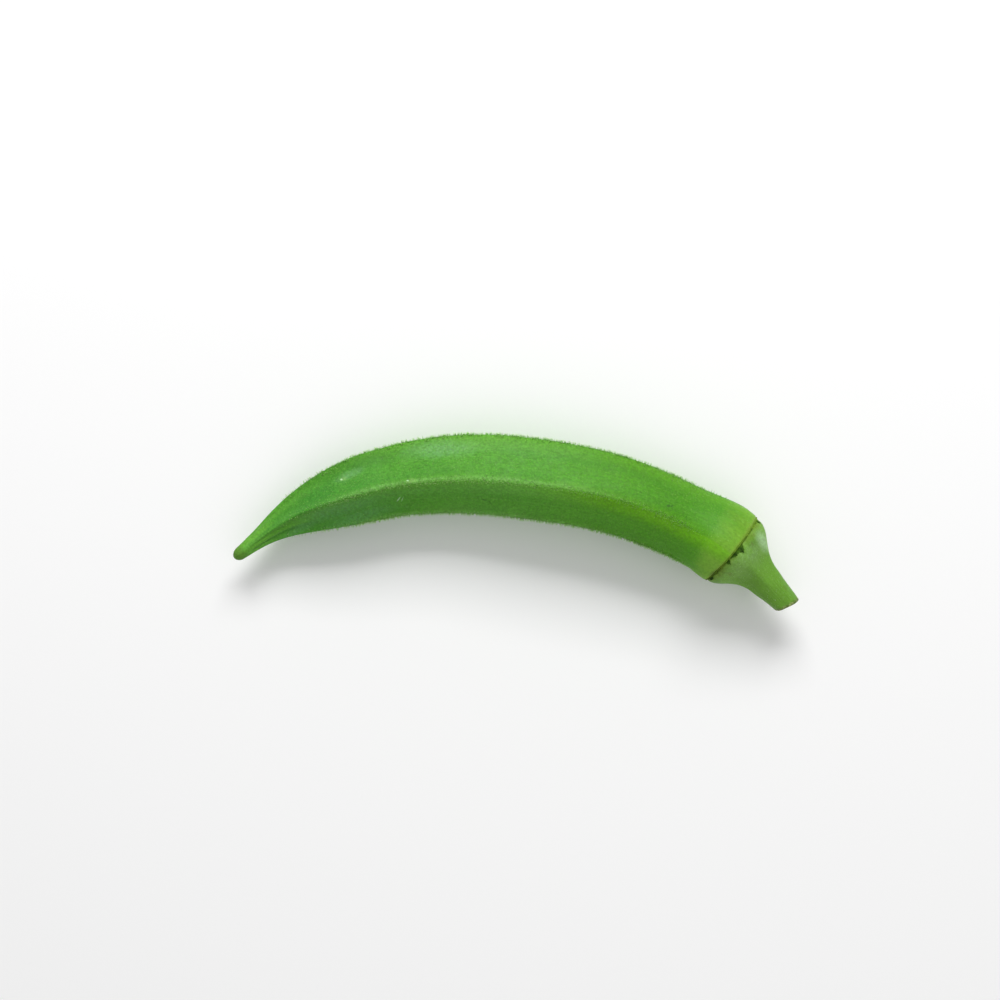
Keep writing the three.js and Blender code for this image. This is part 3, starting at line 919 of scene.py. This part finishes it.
def make_pod_skin():
    material, nodes, shader = start_material("pod skin")
    spread, times, ragged = nodes.spread, nodes.times, nodes.ragged
    grown, _ = read(nodes, "grown")
    _, side = read(nodes, "ridge_side")
    _, fold = read(nodes, "fold")
    arc = nodes.math("ABSOLUTE", side)
    s, outward, upward = nodes.split(grown)
    streaks = nodes.group("Growth streaks", Grown=grown, Fineness=0.62, Stretch=(0.09, 1, 1))
    grain = nodes.group("Skin grain", Grown=grown, Dots_per_mm=1.7)
    patches = nodes.noise(nodes.vector("MULTIPLY", grown, (0.35, 1, 1)), 0.16)
    green = nodes.blend(spread(patches, 0.32, 0.68), (70, 142, 30), (84, 156, 36))
    paint = Paint(nodes, grown, pod_radius, green)
    over, marks = paint.over, paint.marks

    # paler in the middle and bluer towards the tip, and painted shade: deeper green on the side turned away
    # from the light, down towards the floor
    middle = times(spread(s, 28, 52), spread(s, 104, 80))
    over(middle, 0.25, (78, 146, 52))
    over(spread(s, 50, 32), 0.3, (54, 122, 66))
    # painted shade: how far the skin faces up towards the light; where it faces away it is painted darker
    facing_lamp = nodes.math("ADD", times(outward, 0.5), times(upward, 0.87))
    over(spread(facing_lamp, 3.5, -2.5), 0.12, (48, 104, 22))
    riper = times(spread(s, 70, 104, 0.3, 1), spread(s, 118, 108, 0.3, 1))
    over(times(streaks["Mask"], riper), 0.24, (58, 120, 24))
    over(spread(s, 66, 100), 0.35, (80, 142, 10))

    # yellow-green beside the ridges, partly painted light shining through their thin edges; young
    # yellow-green over the tip and just before the scar
    flank = times(spread(arc, 2.2, 0.5), spread(s, 18, 40))
    over(flank, 0.2, (104, 168, 30))
    over(marks(LIME_BANDS, 0.7, 0.5), 0.4, (84, 144, 4))
    over(spread(s, 24, 6), 0.35, (102, 174, 58))
    over(spread(s, 13, 5), 0.25, (124, 180, 74))
    over(marks(FRESH_BANDS, 0.7, 0.4), 0.35, (96, 168, 48))
    # painted shade: darker green along edges where the skin turns away from the light
    over(marks(EDGE_SHADE_BANDS, 0.7, 0.4), 0.3, (58, 112, 26))
    near_scar = nodes.math("ADD", s, times(streaks["Mask"], 1.5))
    over(spread(near_scar, 116.5, 123), 0.45, (142, 180, 60))
    # painted light: lighter patches beside the scar, where the faces turn away from the lamp
    over(marks(SCAR_LIGHT_PATCHES, 1, 0.5), 0.4, (142, 192, 74))
    over(marks(PALE_BANDS, 0.7, 0.4), 0.13, (148, 198, 118))

    # near the tip: painted shade in the creases beside the folds and painted light along the folds, painted
    # highlight stripes between the ridges, and painted shade in a crease beside two of the ridges
    over(spread(fold, 0, -0.7), 0.35, (48, 108, 26))
    over(spread(fold, 0.2, 0.9), 0.25, (100, 172, 50))
    over(marks(TIP_HIGHLIGHTS, 0.6, 0.8), 0.45, (118, 188, 62))
    over(marks(TIP_CREASE_SHADES, 0.8, 0.8), 0.3, (50, 108, 30))

    # painted highlight: the pale broken band on the lit upper side of each ridge; with a yellow-green line
    # along its foot, lighter just below the ridge
    ridge_highlight = times(spread(side, -1.35, -0.4), spread(side, 0.3, 0))
    broken = spread(nodes.noise(grown, 2.4, 4, 0.7), 0.4, 0.6, 0.25, 1)
    long_part = times(spread(s, 20, 36), spread(s, 102, 76))
    over(times(ridge_highlight, broken, long_part), 0.38, (150, 204, 118))
    # partly the pod's own yellow-green line, partly painted light: the lower face is painted lighter just
    # below each ridge
    foot = times(spread(side, 0, 0.4), spread(side, 5, 1.4))
    foot = times(foot, spread(outward, 6.5, 2, 0.55, 1), spread(s, 34, 100, 0.35, 1))
    line = nodes.blend(spread(s, 66, 92), (124, 194, 82), (112, 182, 20))
    paler = times(spread(outward, 6.5, 3), spread(s, 24, 40))
    over(foot, 0.6, nodes.blend(paler, (104, 170, 26), line))

    # bloom with painted sheen in its pale patches, painted glints among the pale dots, grain and marks
    rubbed = spread(nodes.noise(grown, 1.6, 4, 0.75), 0.3, 0.7, 0.25, 1)
    # pale bluish patches: partly waxy bloom, partly painted sheen of light on the down
    over(times(marks(BLOOM_SHEEN_PATCHES, 0.65, 0.55), rubbed), 0.45, (136, 190, 132))
    over(times(marks(DULL_SHEEN_PATCHES, 0.65, 0.55), rubbed), 0.42, (112, 168, 110))
    glints = nodes.math("ADD", times(marks(GLINT_PATCHES, 0.7, 0.6), 0.7), 0.7)
    over(times(grain["Dots"], glints), 0.36, (150, 200, 92))
    flecks = spread(nodes.noise(grown, 2, 2, 0.6), 0.5, 0.68)
    over(flecks, 0.2, (52, 110, 22))
    tip_end = spread(ragged(s, grown, 1.2, 2.4), 5, 2.6)
    over(tip_end, 0.45, (78, 92, 26))
    lip = spread(ragged(s, grown, 1.6, 0.8), 121.7, 122.6)
    over(lip, 0.5, (142, 166, 66))
    over(marks(SCAR_SMUDGES, 0.5, 1.6), 0.5, (84, 102, 34))
    over(marks(DARK_MARKS), 0.7, (44, 84, 30))
    over(marks(PALE_HALOES, 0.6), 0.3, (160, 200, 116))
    speckling = spread(s, 102, 118, 1, 0.5)
    paint.colour = nodes.blend(speckling, paint.colour, grain["Speckle"], "MULTIPLY")
    over(marks(PALE_MARKS), 0.85, (194, 230, 184))
    nodes.put(shader, "Base Color", paint.colour)

    nodes.put(shader, "Roughness", spread(nodes.noise(grown, 0.5, 4), 0.3, 0.7, 0.42, 0.54))
    height = nodes.math("ADD", grain["Height"], times(streaks["Height"], 0.6))
    nodes.bump(shader, height, strength=0.6, distance_mm=0.07)
    soften(shader, 0.12, (0.35, 0.9, 0.15), 0.02, (0.85, 1, 0.8, 1))
    fix(shader, Specular_IOR_Level=0.15)
    return material


def make_cap_skin():
    material, nodes, shader = start_material("cap and stalk skin")
    spread, times, ragged = nodes.spread, nodes.times, nodes.ragged
    grown, _ = read(nodes, "grown")
    s = nodes.split(grown)[0]
    from_scar = nodes.math("SUBTRACT", s, POD_LENGTH)
    streaks = nodes.group("Growth streaks", Grown=grown, Fineness=0.9, Stretch=(0.12, 1, 1))
    grain = nodes.group("Skin grain", Grown=grown, Dots_per_mm=1.9)
    bloom = nodes.group("Waxy bloom", Grown=grown, Patch_size=5)
    green = nodes.blend(spread(from_scar, 2, 10), (114, 164, 60), (101, 151, 46))
    paint = Paint(nodes, grown, cap_radius, green)
    over, marks = paint.over, paint.marks

    over(marks(CAP_SHADES, 0.7, 0.7), 0.5, (80, 122, 30))
    over(streaks["Mask"], 0.12, (78, 128, 36))
    # pale frost of bloom; along the cap's edges it also stands for painted sheen of its down seen edge on
    rubbed = times(spread(from_scar, 8, 2), times(bloom["Mask"], 0.3))
    frost_and_sheen = nodes.math("MAXIMUM", marks(CAP_FROST_AND_SHEEN, 0.65, 0.7), rubbed)
    over(frost_and_sheen, 0.58, (178, 214, 164))
    over(grain["Dots"], 0.2, (150, 188, 112))
    by_seam = spread(ragged(from_scar, grown, 0.9, 2), 3, 1.3)
    over(by_seam, 0.6, (106, 140, 28))
    # painted light: pale patches that lift the shade on the cap's flanks
    painted_light = times(marks(CAP_LIGHT_PATCHES, 0.8, 0.9), bloom["Broken"])
    over(painted_light, 0.3, (160, 202, 122))
    speckled = spread(nodes.noise(grown, 2.4, 4, 0.7), 0.36, 0.62, 0.15, 1)
    over(times(marks(CAP_STAINS, 0.5, 1.6), speckled), 0.5, (90, 104, 26))
    fibres = spread(nodes.noise(grown, 1.5, 4, 0.8), 0.46, 0.6)
    by_cut = spread(ragged(from_scar, grown, 1.8, 1.5), 18.2, 18.9)
    over(by_cut, 0.75, nodes.blend(fibres, (66, 80, 28), (168, 172, 116)))
    speckling = spread(from_scar, 3, 9, 0.8, 0.4)
    nodes.put(shader, "Base Color", nodes.blend(speckling, paint.colour, grain["Speckle"], "MULTIPLY"))

    nodes.put(shader, "Roughness", spread(nodes.noise(grown, 0.6, 4), 0.3, 0.7, 0.5, 0.66))
    height = nodes.math("ADD", times(grain["Height"], 0.7), times(streaks["Height"], 0.1))
    nodes.bump(shader, height, strength=0.4, distance_mm=0.07)
    soften(shader, 0.12, (0.4, 0.9, 0.2), 0.06, (0.9, 1, 0.88, 1))
    fix(shader, Specular_IOR_Level=0.22)
    return material


def make_cut_face():
    """From the middle out: pale pith, a greener ring, the green rind and its dried edge."""
    material, nodes, shader = start_material("stalk cut")
    grown, _ = read(nodes, "grown")
    _, share = read(nodes, "cut_share")
    wander = nodes.times(nodes.math("SUBTRACT", nodes.noise(grown, 0.9), 0.5), 0.12)
    share = nodes.math("ADD", share, wander)
    colour = nodes.blend(nodes.noise(grown, 2.4, 4, 0.7), (206, 204, 160), (164, 172, 112))
    colour = nodes.blend(nodes.spread(share, 0.52, 0.66), colour, (150, 164, 92))
    colour = nodes.blend(nodes.spread(share, 0.70, 0.80), colour, (96, 132, 54))
    colour = nodes.blend(nodes.spread(share, 0.86, 0.95), colour, (80, 90, 36))
    nodes.put(shader, "Base Color", colour)
    nodes.put(shader, "Roughness", nodes.spread(share, 0.4, 0.9, 0.7, 0.55))
    nodes.bump(shader, nodes.noise(grown, 3, 4, 0.7), strength=0.7, distance_mm=0.08)
    soften(shader, 0.2, (0.5, 0.8, 0.3), 0, (1, 1, 1, 1))
    return material


def make_dried_calyx():
    """Browner on the inside of the bend, and darkest on the scraps."""
    material, nodes, shader = start_material("dried calyx")
    grown, _ = read(nodes, "grown")
    _, scrap = read(nodes, "scrap")
    outward = nodes.split(grown)[1]
    age = nodes.noise(grown, 1.1, 4, 0.7)
    dried = nodes.spread(age, 0.4, 0.6)
    colour = nodes.blend(nodes.spread(age, 0.38, 0.6), (96, 132, 36), (134, 170, 56))
    browner = nodes.blend(dried, (66, 94, 20), (110, 138, 42))
    colour = nodes.blend(nodes.spread(outward, -2.5, -6), colour, browner)
    flap = nodes.blend(dried, (34, 62, 6), (68, 106, 20))
    colour = nodes.blend(nodes.spread(scrap, 0.1, 0.5), colour, flap)
    nodes.put(shader, "Base Color", colour)
    nodes.put(shader, "Roughness", nodes.spread(age, 0.3, 0.7, 0.75, 0.95))
    nodes.bump(shader, nodes.noise(grown, 4, 4, 0.7), strength=0.8, distance_mm=0.1)
    fix(shader, Specular_IOR_Level=0.15)
    return material


def make_hair_material(name, colour):
    material, _, shader = start_material(name)
    fix(shader, Base_Color=colour, Roughness=0.45, Subsurface_Weight=0.4)
    fix(shader, Subsurface_Radius=(0.4, 0.6, 0.3), Subsurface_Scale=0.3 * MM)
    return material


# ---- The pod
def dress(piece, material, node=None):
    piece.data.materials.append(material)
    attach(piece, "root")
    if node:
        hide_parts(node)


make_streaks()
make_grain()
make_bloom()
make_mark()

dress(make_pod(), make_pod_skin(), "pod")
dress(make_cap(), make_cap_skin(), "cap_and_stalk")
dress(make_cut(), make_cut_face())
dress(make_scar(), make_dried_calyx(), "calyx_scar")
ridge_hairs, face_hairs, cap_hairs = make_hairs()
dress(ridge_hairs, make_hair_material("ridge hair", shade(158, 208, 116)))
dress(face_hairs, make_hair_material("face hair", shade(122, 184, 68)))
dress(cap_hairs, make_hair_material("cap hair", shade(185, 210, 165)))

# ---- Floor, light and camera
FLOOR_HALF = 3.0
FLOOR_DROP = 0.05 * MM  # below the pod, so that the two don't share a plane
BACKDROP_FROM, BACKDROP_TO = 0.2, 1.2  # where the floor goes over into the white backdrop
FRAME_WIDTH = 0.230  # what the frame takes in at the height of the spine
CAMERA_HEIGHT = 0.400
SPINE_LEVEL = 0.009
LOOK_AT = (-0.00352, 0.00526)
SENSOR = 36.0


def make_floor():
    mesh = bpy.data.meshes.new("floor")
    h = FLOOR_HALF
    mesh.from_pydata([(-h, -h, 0), (h, -h, 0), (h, h, 0), (-h, h, 0)], [], [(0, 1, 2, 3)])
    floor = add_object("floor", mesh)
    floor.location.z = -FLOOR_DROP
    material, nodes, shader = start_material("floor")
    fix(shader, Base_Color=shade(251, 251, 251), Roughness=0.7, Emission_Color=(1, 1, 1, 1))
    place = nodes.add("ShaderNodeTexCoord").outputs["Object"]
    away = nodes.add("ShaderNodeVectorMath", {"operation": "LENGTH"}, i0=place).outputs["Value"]
    seen = nodes.add("ShaderNodeLightPath").outputs["Is Camera Ray"]
    glow = nodes.times(seen, nodes.spread(away, BACKDROP_FROM, BACKDROP_TO))
    nodes.put(shader, "Emission Strength", glow)
    mesh.materials.append(material)


def make_light(name, place, size, power):
    """A lamp that faces the pod."""
    data = bpy.data.lights.new(name, "AREA")
    data.shape = "RECTANGLE"
    data.size, data.size_y = size
    data.energy = power
    lamp = add_object(name, data)
    lamp.location = place
    lamp.rotation_euler = (-Vector(place)).to_track_quat("-Z", "Y").to_euler()


def make_world(strength):
    """Even light from all round, with a white backdrop beyond the floor's edge."""
    world = bpy.data.worlds.new("studio")
    world.use_nodes = True
    background = world.node_tree.nodes["Background"]
    fix(background, Color=(1, 1, 1, 1))
    nodes = Nodes(world.node_tree)
    seen = nodes.add("ShaderNodeLightPath").outputs["Is Camera Ray"]
    nodes.put(background, "Strength", nodes.math("ADD", nodes.times(seen, 1 - strength), strength))
    bpy.context.scene.world = world


def make_camera():
    data = bpy.data.cameras.new("camera")
    data.sensor_width = SENSOR
    data.lens = SENSOR * (CAMERA_HEIGHT - SPINE_LEVEL) / FRAME_WIDTH
    data.clip_start = 0.01
    camera = add_object("camera", data)
    camera.location = (*LOOK_AT, CAMERA_HEIGHT)
    bpy.context.scene.camera = camera


make_floor()
make_light("window", place=(0.04, 0.78, 0.62), size=(0.7, 0.4), power=8.4)
make_light("fill", place=(0.3, -0.5, 0.9), size=(1.2, 1.2), power=2.0)
make_world(strength=0.42)
make_camera()
bpy.context.scene.view_settings.view_transform = "Standard"
